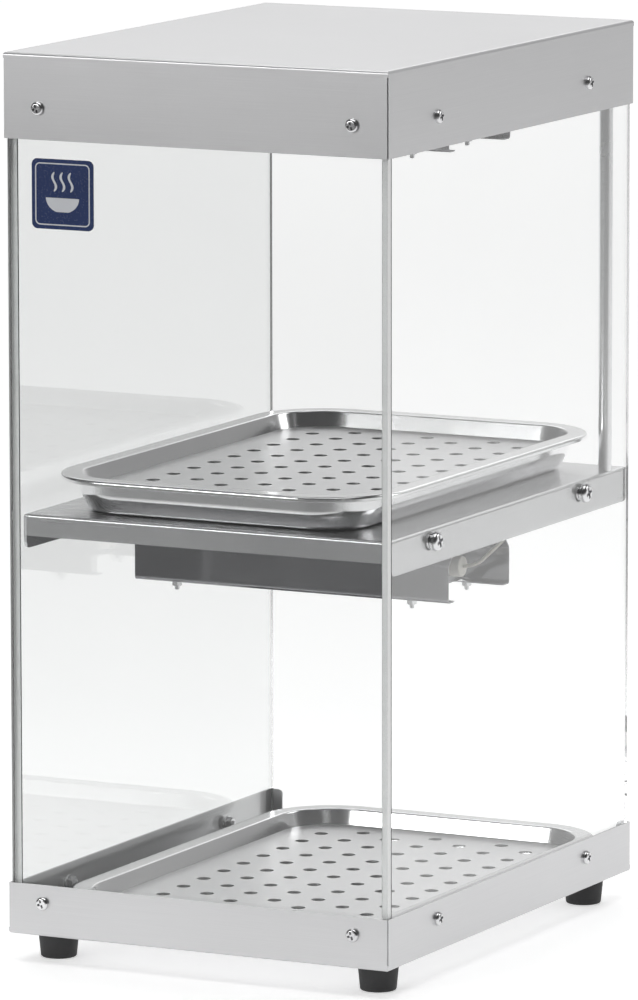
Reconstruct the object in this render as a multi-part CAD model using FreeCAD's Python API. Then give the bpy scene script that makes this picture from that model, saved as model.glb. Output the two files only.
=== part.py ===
import FreeCAD, Part
import math
import os

from FreeCAD import Vector

os.makedirs("parts", exist_ok=True)

# Driving dimensions, millimetres. X runs across the case, Y back from its front face, Z up from the table.
case_width = 240.0
case_depth = 320.0
foot_height = 16.0
body_height = 501.5
sheet = 1.2
glass = 5.0
glass_gap = 0.3
bend = 1.8
seam = 0.8

head_height = 48.5
base_height = 29.5
head_return = 14.0
base_return = 12.0
return_corner = 3.0

shelf_top = 256.0
shelf_front_drop = 12.5
shelf_side_drop = 20.0
shelf_gap = 0.2
shelf_front = 10.5

screw_inset_x = 22.0
screw_rows_y = (62.0, 258.0)
head_screw_drop = 30.8
base_screw_drop = 10.5
shelf_screw_drop = 7.0
m4_radius = 1.95
m4_head_radius = 3.9
m4_head_height = 2.4
shelf_screw_radius = 2.45
shelf_head_radius = 5.5
shelf_head_height = 3.0

reflector_length = 196.0
reflector_drop = {"upper": 56.8, "lower": 51.5}
reflector_centre = (-3.0, 160.0)
reflector_depth = 80.0
reflector_slope_rise = 30.5
reflector_slope_run = 25.0
reflector_lip = 8.0
reflector_sheet = 0.8
web_screw_spread = 60.0
lamp_drop = 36.5
lamp_radius = 5.0
lamp_length = 136.0
lamp_end_length = 20.0
lamp_end_radius = 6.0
strap_spread = 73.0
strap_width = 8.0

m3_radius = 1.45
m3_hole = 1.7
m3_nut_across = 5.0

tube_radius = 4.0
tube_bore = 3.0
tube_place = (108.6, 300.0)

tray_width = 208.0
tray_length = 318.0
tray_height = 21.5
tray_corner = 45.0
tray_sheet = 0.8
tray_rim = 10.5
tray_wall_run = 6.0
tray_lip = 3.0
plate_rise = 11.5
plate_sheet = 1.0
plate_gap = 0.5
hole_radius = 4.0
hole_pitch = 25.0
hole_columns = 7
upper_tray_place = (-3.5, 169.0)
lower_tray_place = (3.0, 167.0)

foot_inset = (18.6, 25.0)
foot_top_radius = 11.8
foot_bottom_radius = 10.2

cover_front = 226.0
cover_half = 104.0
cover_lift = 3.0
panel_y = case_depth - sheet - 0.2
panel_screw_lifts = (9.0, 39.0)
switch_x = (58.0, 30.0)
switch_lift = 24.0
rocker_tilt = 8.0
inlet_x = -46.0
inlet_screw_spread = 20.0
inlet_flange = 2.5

# Derived planes
case_top = foot_height + body_height
head_bottom = case_top - head_height
base_top = foot_height + base_height
floor_top = foot_height + sheet
half = case_width / 2
pane_out = half - sheet - glass_gap
pane_in = pane_out - glass
shelf_half = pane_in - shelf_gap
pane_bottom = floor_top + glass_gap
pane_top = case_top - sheet - glass_gap
head_screw_z = case_top - head_screw_drop
base_screw_z = base_top - base_screw_drop
shelf_screw_z = shelf_top - shelf_screw_drop
switch_z = head_bottom + switch_lift
tray_back = upper_tray_place[1] + tray_length / 2
origin_y = (tray_back - m4_head_height) / 2

x_axis = Vector(1, 0, 0)
y_axis = Vector(0, 1, 0)
z_axis = Vector(0, 0, 1)
front_way = Vector(0, -1, 0)


def save(name, *shapes):
    """Writes one node, moved so that the origin lies under the middle of the whole case."""
    solids = [solid for shape in shapes for solid in shape.Solids]
    node = solids[0] if len(solids) == 1 else Part.makeCompound(solids)
    node = node.copy()
    node.translate(Vector(0, -origin_y, 0))
    node.exportStep("parts/" + name + ".step")


def box(x0, y0, z0, x1, y1, z1):
    return Part.makeBox(x1 - x0, y1 - y0, z1 - z0, Vector(x0, y0, z0))


def rod(radius, start, way, length):
    return Part.makeCylinder(radius, length, start, way)


def ring(outer, inner, start, way, length):
    return rod(outer, start, way, length).cut(rod(inner, start, way, length))


def fuse(shapes):
    first, *rest = shapes
    return first.multiFuse(rest).removeSplitter() if rest else first


def edges_where(shape, test):
    """Straight and curved edges whose two ends and middle all pass the test."""
    found = []
    for edge in shape.Edges:
        middle = edge.valueAt((edge.FirstParameter + edge.LastParameter) / 2)
        if all(test(point) for point in [vertex.Point for vertex in edge.Vertexes] + [middle]):
            found.append(edge)
    return found


def near(a, b):
    return abs(a - b) < 1e-4


def rounded_wire(width, length, radius, z, centre=(0.0, 0.0)):
    """Rounded rectangle, counter-clockwise, in a level plane."""
    cx, cy = centre
    hx, hy = width / 2, length / 2
    diagonal = radius * (1 - math.sqrt(0.5))
    edges = []
    for turn, (sx, sy) in enumerate(((1, 1), (-1, 1), (-1, -1), (1, -1))):
        on_side = Vector(cx + sx * hx, cy + sy * (hy - radius), z)
        on_end = Vector(cx + sx * (hx - radius), cy + sy * hy, z)
        start, end = (on_side, on_end) if turn % 2 == 0 else (on_end, on_side)
        middle = Vector(cx + sx * (hx - diagonal), cy + sy * (hy - diagonal), z)
        edges.append((start, middle, end))
    parts = []
    for number, (start, middle, end) in enumerate(edges):
        parts.append(Part.Arc(start, middle, end).toShape())
        parts.append(Part.LineSegment(end, edges[(number + 1) % 4][0]).toShape())
    return Part.Wire(parts)


def rounded_plate(width, length, radius, z, thickness, centre):
    return Part.Face(rounded_wire(width, length, radius, z, centre)).extrude(Vector(0, 0, thickness))


def outline(points, way):
    """Closed polygon carried along a vector."""
    loop = list(points) + [points[0]]
    return Part.Face(Part.makePolygon(loop)).extrude(way)


def pan_screw(place, way, length, shank, head_radius, head_height):
    """Pan head with a cross recess; place is where the head's flat face sits, way points to its tip."""
    frame = FreeCAD.Rotation(z_axis, way * -1)
    dome = Part.makeCylinder(head_radius, head_height)
    dome = dome.makeFillet(head_height * 0.7, edges_where(dome, lambda p: near(p.z, head_height)))
    arm = head_radius * 0.62
    slot = head_radius * 0.16
    depth = head_height * 0.55
    for angle in (0, 90):
        bar = box(-arm, -slot, head_height - depth, arm, slot, head_height + 1)
        bar.rotate(Vector(), z_axis, angle + 20)
        dome = dome.cut(bar)
    screw = dome.fuse(Part.makeCylinder(shank, length, Vector(0, 0, -length)))
    tip = edges_where(screw, lambda p: near(p.z, -length))
    screw = screw.makeChamfer(shank * 0.25, tip)
    screw.Placement = FreeCAD.Placement(place, frame)
    return screw


def hex_nut(place, way, across, height, bore):
    frame = FreeCAD.Rotation(z_axis, way)
    corner = across / math.sqrt(3)
    points = [Vector(corner * math.cos(math.radians(60 * k)), corner * math.sin(math.radians(60 * k)), 0)
              for k in range(6)]
    body = outline(points, Vector(0, 0, height))
    cone = Part.makeCone(corner * 1.02, across / 2 * 0.98, height * 0.2, Vector(0, 0, height * 0.8))
    body = body.common(Part.makeCylinder(corner * 1.02, height * 0.8).fuse(cone))
    body = body.cut(Part.makeCylinder(bore, height))
    body.Placement = FreeCAD.Placement(place, frame)
    return body


def pane_hole(x, y, z, way, radius):
    """A cutter that goes right through a pane or skirt at a side or front face."""
    return rod(radius, Vector(x, y, z) - way * 20, way, 40)


def corner_seams(z0, z1):
    """Square notches that open the folded skirts' vertical corners."""
    columns = []
    for side in (-1, 1):
        for y in (0.0, case_depth):
            corner = Vector(side * half - seam, y - seam, z0)
            columns.append(Part.makeBox(2 * seam, 2 * seam, z1 - z0, corner))
    return columns


def side_screw_places(z):
    """Outer face points and inward directions of the six screws round three skirts at one height."""
    places = []
    for side in (-1, 1):
        places.append((Vector(side * (half - screw_inset_x), 0, z), y_axis))
        for y in screw_rows_y:
            places.append((Vector(side * half, y, z), Vector(-side, 0, 0)))
    return places


def shelf_screw_places():
    return [(Vector(side * pane_out, y, shelf_screw_z), Vector(-side, 0, 0))
            for side in (-1, 1) for y in screw_rows_y]


# Casing

def folded_box(z0, z1, return_width, open_at_bottom):
    """Skirts on three sides and a level sheet, folded from one blank, with narrow returns at the back."""
    shell = box(-half, 0, z0, half, case_depth, z1)
    level = z1 if open_at_bottom else z0
    shell = shell.makeFillet(bend, edges_where(shell, lambda p: near(p.z, level)))
    inner_low = z0 - 1 if open_at_bottom else z0 + sheet
    inner_high = z1 - sheet if open_at_bottom else z1 + 1
    inside = half - sheet
    shell = shell.cut(box(-inside, sheet, inner_low, inside, case_depth - sheet, inner_high))
    gap = half - return_width
    free_edge = z0 if open_at_bottom else z1
    doorway = box(-gap, case_depth - 2 * sheet, inner_low, gap, case_depth + 1, inner_high)
    shell = shell.cut(doorway)
    lobes = []
    for side in (-1, 1):
        x = side * (gap + return_corner)
        z = free_edge + (return_corner if open_at_bottom else -return_corner)
        low, high = sorted((x, x - side * return_corner))
        z_low, z_high = sorted((z, free_edge))
        square = box(low, case_depth - 2 * sheet, z_low, high, case_depth + 1, z_high)
        lobes.append(square.cut(rod(return_corner, Vector(x, case_depth - 3 * sheet, z), y_axis, 6 * sheet)))
    shell = shell.cut(Part.makeCompound(lobes))
    notch_low = z0 - 1 if open_at_bottom else z0 + 2 * bend
    notch_high = z1 - 2 * bend if open_at_bottom else z1 + 1
    return shell.cut(Part.makeCompound(corner_seams(notch_low, notch_high)))


def drill(shape, cutters):
    return shape.cut(Part.makeCompound(cutters))


def screw_holes(z, radius):
    return [pane_hole(place.x, place.y, place.z, way, radius) for place, way in side_screw_places(z)]


def make_casing():
    back_holes = [rod(m3_hole, Vector(x, case_depth - 3, z), y_axis, 5) for x, z in panel_screw_places()]
    cover = folded_box(head_bottom, case_top, head_return, True)
    cover = drill(cover, screw_holes(head_screw_z, 2.2) + back_holes)
    foot_holes = [rod(2.7, Vector(x, y, foot_height - 1), z_axis, 4) for x, y in foot_places()]
    base = folded_box(foot_height, base_top, base_return, False)
    base = drill(base, screw_holes(base_screw_z, 2.2) + foot_holes)
    save("top_cover", cover)
    save("base_pan", base)


def make_glass():
    front = box(-pane_out, sheet + glass_gap, pane_bottom, pane_out, sheet + glass_gap + glass, pane_top)
    front = front.makeChamfer(0.4, front.Edges)
    cutters = screw_holes(head_screw_z, 3.0) + screw_holes(base_screw_z, 3.0)
    save("front_glass", drill(front, cutters))
    shelf_cutters = [pane_hole(place.x, place.y, place.z, way, 4.5) for place, way in shelf_screw_places()]
    for side, name in ((-1, "left_glass"), (1, "right_glass")):
        low, high = sorted((side * pane_in, side * pane_out))
        pane_start = sheet + glass_gap + glass + 0.2
        pane = box(low, pane_start, pane_bottom, high, case_depth - sheet - glass_gap, pane_top)
        pane = pane.makeChamfer(0.4, pane.Edges)
        side_cutters = [cutter for cutter in cutters if abs(cutter.BoundBox.Center.x) > half - 25
                        and cutter.BoundBox.XLength > 30] + shelf_cutters
        save(name, drill(pane, side_cutters))


def foot_places():
    x = half - foot_inset[0]
    return [(side * x, y) for y in (foot_inset[1], case_depth - foot_inset[1]) for side in (-1, 1)]


def make_feet():
    names = ("foot_front_left", "foot_front_right", "foot_rear_left", "foot_rear_right")
    screws = []
    nuts = []
    for name, (x, y) in zip(names, foot_places()):
        foot = Part.makeCone(foot_bottom_radius, foot_top_radius, foot_height, Vector(x, y, 0))
        foot = foot.makeFillet(1.2, edges_where(foot, lambda p: near(p.z, 0)))
        recess = rod(5.4, Vector(x, y, 0), z_axis, 9)
        foot = foot.cut(recess).cut(rod(2.6, Vector(x, y, 0), z_axis, foot_height + 1))
        save(name, foot)
        screws.append(pan_screw(Vector(x, y, 9), z_axis, 13.5, 2.45, 4.6, 2.8))
        nuts.append(ring(5.0, 2.6, Vector(x, y, floor_top), z_axis, 1.0))
        nuts.append(hex_nut(Vector(x, y, floor_top + 1.0), z_axis, 8.0, 4.0, 2.5))
    save("foot_screws", *screws)
    save("foot_nuts", *nuts)


def make_skirt_fasteners():
    pane_stack = sheet + glass_gap + glass
    for level, z in (("head", head_screw_z), ("base", base_screw_z)):
        screws, washers, nuts = [], [], []
        for place, way in side_screw_places(z):
            screws.append(pan_screw(place, way, pane_stack + 5.2, m4_radius, m4_head_radius, m4_head_height))
            inner = place + way * pane_stack
            washers.append(ring(4.6, 2.1, inner, way, 0.8))
            nuts.append(hex_nut(inner + way * 0.8, way, 7.0, 3.2, 2.0))
        save(level + "_screws", *screws)
        save(level + "_washers", *washers)
        save(level + "_nuts", *nuts)


def make_shelf():
    blank = box(-shelf_half, shelf_front, shelf_top - shelf_side_drop, shelf_half, case_depth, shelf_top)
    blank = blank.makeFillet(bend, edges_where(blank, lambda p: near(p.z, shelf_top)))
    inside = shelf_half - sheet
    low = shelf_top - shelf_side_drop - 1
    blank = blank.cut(box(-inside, shelf_front + sheet, low, inside, case_depth - sheet, shelf_top - sheet))
    drop_low = shelf_top - shelf_front_drop
    open_half = shelf_half - sheet - 0.6
    blank = blank.cut(box(-open_half, shelf_front - 1, low, open_half, case_depth + 1, drop_low))
    for y in (shelf_front, case_depth):
        inward = 1 if y == shelf_front else -1
        z = shelf_top - shelf_side_drop
        low_y, high_y = sorted((y, y + inward * 5))
        square = box(-shelf_half - 1, low_y, z, shelf_half + 1, high_y, z + 5)
        square = square.cut(rod(5.0, Vector(-shelf_half - 2, y + inward * 5, z + 5), x_axis, case_width))
        blank = blank.cut(square)
    cutters = [pane_hole(place.x, place.y, place.z, way, 2.7) for place, way in shelf_screw_places()]
    cutters.append(rod(2.6, Vector(*tube_place, shelf_top - 5), z_axis, 10))
    save("shelf", drill(blank, cutters))
    screws, bushes, nuts = [], [], []
    for place, way in shelf_screw_places():
        screws.append(pan_screw(place, way, 13.2, shelf_screw_radius, shelf_head_radius, shelf_head_height))
        bushes.append(ring(4.4, 2.6, place + way * 0.1, way, glass - 0.1))
        nuts.append(hex_nut(place + way * (glass + shelf_gap + sheet), way, 8.0, 4.0, 2.5))
    save("shelf_screws", *screws)
    save("shelf_bushes", *bushes)
    save("shelf_nuts", *nuts)


# Heaters

def trough_profile(left, cy, low_z, top_z, inset):
    """Half-hexagon trough section, open downward: web, two sloped sides and two upright skirts."""
    web = reflector_depth / 2 - reflector_slope_run - inset * 0.6
    skirt = reflector_depth / 2 - inset
    web_z = top_z - inset
    fold_z = top_z - reflector_slope_rise - inset * 0.3
    half_section = [(skirt, low_z), (skirt, fold_z), (web, web_z)]
    return ([Vector(left, cy - y, z) for y, z in half_section]
            + [Vector(left, cy + y, z) for y, z in reversed(half_section)])


def make_heater(level, plate_z):
    """Trough reflector under one sheet, with its quartz lamp, end brackets and two guard straps."""
    cx, cy = reflector_centre
    left = cx - reflector_length / 2
    top_z = plate_z - 0.1
    low_z = top_z - reflector_drop[level]
    along = Vector(reflector_length, 0, 0)
    trough = outline(trough_profile(left, cy, low_z, top_z, 0), along)
    hollow = outline(trough_profile(left, cy, low_z, top_z, reflector_sheet), along)
    trough = trough.cut(hollow)
    lips = []
    for side in (-1, 1):
        edge = cy + side * reflector_depth / 2
        low, high = sorted((edge, edge - side * reflector_lip))
        lips.append(box(left, low, low_z, left + reflector_length, high, low_z + reflector_sheet))
    trough = fuse([trough] + lips)
    strap_x = [cx - strap_spread, cx + strap_spread]
    lip_y = [cy - reflector_depth / 2 + 4.5, cy + reflector_depth / 2 - 4.5]
    cutters = [rod(1.7, Vector(x, y, low_z - 2), z_axis, 6) for x in strap_x for y in lip_y]
    cutters += [rod(2.1, Vector(cx + side * web_screw_spread, cy, top_z - 4), z_axis, 6) for side in (-1, 1)]
    save(level + "_reflector", drill(trough, cutters))

    axis_z = top_z - lamp_drop
    start = Vector(cx - lamp_length / 2, cy, axis_z)
    tube = rod(lamp_radius, start, x_axis, lamp_length)
    tube = tube.makeFillet(1.5, tube.Edges[0:1] + tube.Edges[2:3])
    bore = rod(lamp_radius - 1.0, start + x_axis * 1.5, x_axis, lamp_length - 3.0)
    save(level + "_lamp_tube", tube.cut(bore))
    save(level + "_filament", make_filament(cx, cy, axis_z))

    ends, brackets = [], []
    for side in (-1, 1):
        inner = Vector(cx + side * lamp_length / 2, cy, axis_z)
        way = Vector(side, 0, 0)
        sleeve = rod(lamp_end_radius, inner, way, lamp_end_length)
        ends.append(sleeve.makeFillet(1.0, sleeve.Edges[0:1] + sleeve.Edges[2:3]))
        x = inner.x + side * 12
        low, high = sorted((x, x + side * 1.0))
        leg_low = axis_z - lamp_end_radius - 3
        web_low = top_z - reflector_sheet
        leg = box(low, cy - 8, leg_low, high, cy + 8, web_low)
        leg = leg.cut(rod(lamp_end_radius + 0.1, Vector(x - 5, cy, axis_z), x_axis, 10))
        foot_low, foot_high = sorted((x, x - side * 12))
        brackets.append(leg.fuse(box(foot_low, cy - 8, web_low - 1.0, foot_high, cy + 8, web_low)))
    save(level + "_lamp_ends", *ends)
    save(level + "_lamp_brackets", *[bracket.removeSplitter() for bracket in brackets])

    straps, strap_screws = [], []
    for x in strap_x:
        straps.append(make_strap(x, lip_y, low_z))
        for y in lip_y:
            strap_screws.append(pan_screw(Vector(x, y, low_z + 1.8), z_axis * -1, 6.5, 1.45, 2.7, 1.8))
            strap_screws.append(hex_nut(Vector(x, y, low_z), z_axis * -1, 5.5, 2.4, 1.5))
    save(level + "_guard_straps", *straps)
    save(level + "_guard_screws", *strap_screws)


def make_filament(cx, cy, z):
    """The wound filament as a thin core, with the support discs that hold it off the quartz."""
    length = lamp_length - 6
    core = rod(1.1, Vector(cx - length / 2, cy, z), x_axis, length)
    discs = [rod(2.6, Vector(cx - length / 2 + 16 * k + 1, cy, z), x_axis, 0.6) for k in range(9)]
    return fuse([core] + discs)


def make_strap(x, lip_y, low_z):
    """Flat strap over both lips, pressed up a little under the lamp's middle."""
    low_x, high_x = x - strap_width / 2, x + strap_width / 2
    z0 = low_z + reflector_sheet
    z1 = z0 + 1.0
    y0, y1 = lip_y[0] - 3.5, lip_y[1] + 3.5
    step = 10.0
    rise = 3.0
    near_y, far_y = lip_y[0] + 5, lip_y[1] - 5
    stations = [(y0, 0), (near_y, 0), (near_y + step, rise), (far_y - step, rise), (far_y, 0), (y1, 0)]
    points = [(y, z0 + up) for y, up in stations] + [(y, z1 + up) for y, up in reversed(stations)]
    strap = outline([Vector(low_x, y, z) for y, z in points], Vector(high_x - low_x, 0, 0))
    return strap.cut(Part.makeCompound([rod(1.7, Vector(x, y, z0 - 1), z_axis, 6) for y in lip_y]))


def make_reflector_screws():
    """Short screws up through each web into the sheet that carries it."""
    cx, cy = reflector_centre
    screws = []
    for plate_z in (case_top - sheet, shelf_top - sheet):
        seat = plate_z - 0.1 - reflector_sheet
        for side in (-1, 1):
            place = Vector(cx + side * web_screw_spread, cy, seat)
            screws.append(pan_screw(place, z_axis, 0.85, m4_radius, 3.8, 2.2))
    save("reflector_screws", *screws)


# Wiring side of the head

def make_head_rear():
    """Back panel between the cover's returns, with the openings for two switches and the inlet."""
    wide = pane_in - glass_gap
    panel = box(-wide, panel_y - sheet, head_bottom + 1, wide, panel_y, pane_top)
    openings = [(x, 6.8, 10.1) for x in switch_x] + [(inlet_x, 14.2, 10.2)]
    cutters = [box(x - across, panel_y - 5, switch_z - up, x + across, panel_y + 5, switch_z + up)
               for x, across, up in openings]
    flange_places = [(inlet_x + side * inlet_screw_spread, switch_z) for side in (-1, 1)]
    for x, z in panel_screw_places() + flange_places:
        cutters.append(rod(m3_hole, Vector(x, panel_y - 5, z), y_axis, 10))
    save("head_rear_panel", drill(panel, cutters))
    screws = []
    for places, seat, head in ((panel_screw_places(), case_depth, 2.4),
                               (flange_places, panel_y + inlet_flange, 2.7)):
        for x, z in places:
            screws.append(pan_screw(Vector(x, seat, z), front_way, 7.5, m3_radius, head, 1.7))
            screws.append(hex_nut(Vector(x, panel_y - sheet, z), front_way, m3_nut_across, 2.4, 1.5))
    save("panel_screws", *screws)


def panel_screw_places():
    x = half - head_return + 3.6
    return [(side * x, head_bottom + z) for side in (-1, 1) for z in panel_screw_lifts]


def make_switch(level, x):
    """Snap-in switch housing with its bezel outside the panel, and the rocker that turns in it."""
    bezel = box(x - 8.5, panel_y, switch_z - 12.0, x + 8.5, panel_y + 2.2, switch_z + 12.0)
    bezel = bezel.makeFillet(1.0, edges_where(bezel, lambda p: near(p.y, panel_y + 2.2)))
    housing = box(x - 6.5, panel_y - 17, switch_z - 9.8, x + 6.5, panel_y, switch_z + 9.8)
    cavity = box(x - 5.6, panel_y - 9, switch_z - 9.2, x + 5.6, panel_y + 3, switch_z + 9.2)
    pivot = Vector(x, panel_y - 1.5, switch_z)
    body = bezel.fuse(housing).cut(cavity).removeSplitter()
    body = body.cut(rod(1.05, pivot - x_axis * 10, x_axis, 20))
    save(level + "_switch_body", body)
    blades = [box(x - 2.4, panel_y - 25, switch_z + z - 0.4, x + 2.4, panel_y - 17, switch_z + z + 0.4)
              for z in (-6, 0, 6)]
    rocker_half = 8.3
    face = 3.2
    rise = rocker_half * math.tan(math.radians(rocker_tilt))
    profile = [(face, 0), (face + rise, rocker_half), (-3.0, rocker_half), (-4.5, 3.5),
               (-4.5, -3.5), (-3.0, -rocker_half), (face + rise, -rocker_half)]
    rocker = outline([Vector(pivot.x - 5.2, pivot.y + out, pivot.z + up) for out, up in profile],
                     Vector(10.4, 0, 0))
    rocker = rocker.fuse(rod(1.0, pivot - x_axis * 6.2, x_axis, 12.4)).removeSplitter()
    rocker.rotate(pivot, x_axis, rocker_tilt)
    save(level + "_rocker", rocker)
    return blades


def make_inlet():
    """Appliance inlet: a flanged shell with three blades standing in its recess."""
    front = panel_y + inlet_flange
    flange = box(inlet_x - 25, panel_y, switch_z - 11.5, inlet_x + 25, front, switch_z + 11.5)
    flange = flange.makeFillet(4.0, edges_where(flange, lambda p: near(abs(p.x - inlet_x), 25)
                                                and near(abs(p.z - switch_z), 11.5)))
    shell = box(inlet_x - 14, panel_y - 19, switch_z - 10, inlet_x + 14, panel_y, switch_z + 10)
    recess = box(inlet_x - 12, panel_y - 16, switch_z - 8, inlet_x + 12, panel_y + 5, switch_z + 8)
    body = flange.fuse(shell).cut(recess)
    holes = [rod(m3_hole, Vector(inlet_x + side * inlet_screw_spread, panel_y - 5, switch_z), y_axis, 10)
             for side in (-1, 1)]
    save("inlet_body", drill(body, holes).removeSplitter())
    blades = []
    for x, z in ((-7, -1.5), (0, 2.5), (7, -1.5)):
        x += inlet_x
        z += switch_z
        blades.append(box(x - 1, panel_y - 16, z - 2, x + 1, panel_y - 2, z + 2))
        blades.append(box(x - 2.4, panel_y - 27, z - 0.4, x + 2.4, panel_y - 19, z + 0.4))
    save("inlet_blades", *blades)


def make_wiring_cover():
    """Folded cover under the wiring space at the back of the head, with an ear round the conduit."""
    low = head_bottom + cover_lift
    high = case_top - sheet - 0.3
    back = panel_y - sheet - 4.0
    floor = box(-cover_half, cover_front, low, cover_half, back, low + sheet)
    front = box(-cover_half, cover_front, low, cover_half, cover_front + sheet, high)
    flange = box(-cover_half, cover_front - 12, high - sheet, cover_half, cover_front + sheet, high)
    left = box(-cover_half, cover_front, low, -cover_half + sheet, back, high - 12)
    right = box(cover_half - sheet, cover_front, low, cover_half, 280, high - 12)
    ear = box(cover_half - sheet, 284, low, pane_in - 0.4, back, low + sheet)
    cover = fuse([floor, front, flange, left, right, ear])
    cutters = [rod(tube_radius + 0.15, Vector(*tube_place, low - 2), z_axis, 6)]
    for side in (-1, 1):
        cutters.append(rod(m3_hole, Vector(side * 70, cover_front - 6, high - 4), z_axis, 8))
        cutters.append(rod(3.2, Vector(side * 98.4, cover_front - 5, low + 20.6), y_axis, 12))
    save("wiring_cover", drill(cover, cutters))
    screws = [pan_screw(Vector(side * 70, cover_front - 6, high - sheet), z_axis, 1.4, m3_radius, 2.8, 1.8)
              for side in (-1, 1)]
    save("cover_screws", *screws)


def make_conduit():
    top = head_bottom + cover_lift + sheet + 8
    tube = ring(tube_radius, tube_bore, Vector(*tube_place, shelf_top), z_axis, top - shelf_top)
    save("conduit_tube", tube)
    low = head_bottom + cover_lift + sheet
    save("conduit_bush", ring(5.4, tube_radius + 0.1, Vector(*tube_place, low), z_axis, 4.0)
         .cut(box(pane_in - 0.3, 280, low - 1, half, 320, low + 6)))


def make_terminals(blades):
    low = head_bottom + cover_lift + sheet
    block = box(-26, 262, low, 26, 280, low + 14)
    block = block.makeChamfer(1.0, edges_where(block, lambda p: near(p.z, low + 14)))
    wells = [Vector(x, y, low + 5) for x in (-19.5, -6.5, 6.5, 19.5) for y in (267, 275)]
    save("terminal_block", drill(block, [rod(2.6, well, z_axis, 12) for well in wells]))
    screws = [pan_screw(well + z_axis * 3, z_axis * -1, 2.9, 1.4, 2.3, 1.5) for well in wells]
    save("terminal_screws", *screws)
    save("switch_blades", *blades)
    earth = Vector(-84, 290, low)
    save("earth_stud", rod(m4_radius, earth, z_axis, 12), ring(4.5, 2.05, earth, z_axis, 0.9),
         hex_nut(earth + z_axis * 4, z_axis, 7.0, 3.2, 2.0))


def lead(points, radius):
    """A round lead along straight runs joined by tangent arcs, each as large as its runs allow."""
    pts = [Vector(*p) for p in points]
    edges = []
    last = pts[0]
    for before, corner, after in zip(pts, pts[1:], pts[2:]):
        back, ahead = (before - corner), (after - corner)
        turn = math.pi - back.getAngle(ahead)
        reach = 0.45 * min(back.Length, ahead.Length)
        back.normalize()
        ahead.normalize()
        start, end = corner + back * reach, corner + ahead * reach
        bend_radius = reach / math.tan(turn / 2)
        centre = corner + (back + ahead).normalize() * (bend_radius / math.cos(turn / 2))
        middle = centre + (corner - centre).normalize() * bend_radius
        edges.append(Part.LineSegment(last, start).toShape())
        edges.append(Part.Arc(start, middle, end).toShape())
        last = end
    edges.append(Part.LineSegment(last, pts[-1]).toShape())
    path = Part.Wire(edges)
    way = pts[1] - pts[0]
    section = Part.Wire([Part.makeCircle(radius, pts[0], way)])
    print("lead", round(path.Length), "mm")
    return path.makePipeShell([section], True, False)


def make_leads():
    """Heater leads: the upper pair goes back into the wiring space, the lower pair up the conduit."""
    cx, cy = reflector_centre
    reach = lamp_length / 2 + lamp_end_length
    radius = 1.0
    upper_z = case_top - sheet - 0.1 - lamp_drop
    cover_z = head_bottom + cover_lift + 20
    upper = []
    for side in (-1, 1):
        x = cx + side * reach
        upper.append(lead([(x, cy, upper_z), (x + side * 12, cy + 1, upper_z + 1),
                           (side * 106, cy + 20, upper_z + 5), (side * 104, cy + 48, cover_z),
                           (side * 95, cover_front + 12, cover_z + 1)], radius))
    save("upper_heater_leads", *upper)
    lower_z = shelf_top - sheet - 0.1 - lamp_drop
    tx, ty = tube_place
    lower = []
    for side, offset in ((1, 1.3), (-1, -1.3)):
        x = cx + side * reach
        route = [(x, cy, lower_z), (x + side * 9, cy + 1, lower_z + 2), (side * 104, cy + 18, lower_z + 16),
                 (side * 104, cy + 48, 246)]
        if side > 0:
            route += [(103, cy + 84, 247), (104, ty - 26, 246), (tx, ty - 9, 247.5)]
        else:
            route += [(-100, cy + 84, 246), (-84, cy + 118, 246.5), (-52, cy + 133, 246)]
            route += [(-8, cy + 136, 246.5), (38, cy + 134, 246), (78, cy + 136, 246.5)]
            route += [(tx - 9, ty - 1, 247)]
        route += [(tx + offset * 0.9, ty + offset * 0.3, 254), (tx + offset, ty + offset * 0.3, 272)]
        lower.append(lead(route, radius))
    save("lower_heater_leads", *lower)


# Trays

def tray_shape(inset, floor_z, top_z, run):
    """Tapered rounded tub as a solid, inset from the rim's inner edge."""
    top_w = tray_width - 2 * (tray_rim + inset)
    top_l = tray_length - 2 * (tray_rim + inset)
    top_r = tray_corner - tray_rim - inset
    low = rounded_wire(top_w - 2 * run, top_l - 2 * run, top_r - run * 0.6, floor_z)
    high = rounded_wire(top_w, top_l, top_r, top_z)
    tub = Part.makeLoft([low, high], True, True)
    fillet = 5.0 - inset
    return tub.makeFillet(fillet, edges_where(tub, lambda p: near(p.z, floor_z)))


def make_tray(level, place, z):
    outer = tray_shape(0, 0, tray_height, tray_wall_run)
    inner = tray_shape(tray_sheet, tray_sheet, tray_height, tray_wall_run - 0.2)
    collar = Part.Face(rounded_wire(tray_width - 2 * tray_rim - 2 * tray_sheet,
                                    tray_length - 2 * tray_rim - 2 * tray_sheet,
                                    tray_corner - tray_rim - tray_sheet, tray_height))
    above = collar.extrude(Vector(0, 0, 2))
    rim = rounded_plate(tray_width, tray_length, tray_corner, tray_height - tray_lip, tray_lip, (0, 0))
    rim = rim.makeFillet(1.4, edges_where(rim, lambda p: near(p.z, tray_height)))
    under_low = tray_height - tray_lip - 1
    under = rounded_plate(tray_width - 2 * tray_sheet, tray_length - 2 * tray_sheet,
                          tray_corner - tray_sheet, under_low, tray_height - tray_sheet - under_low, (0, 0))
    rim = rim.cut(under)
    tray = outer.fuse(rim).cut(inner.fuse(above)).removeSplitter()
    tray.translate(Vector(place[0], place[1], z))
    save(level + "_tray", tray)


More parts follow.
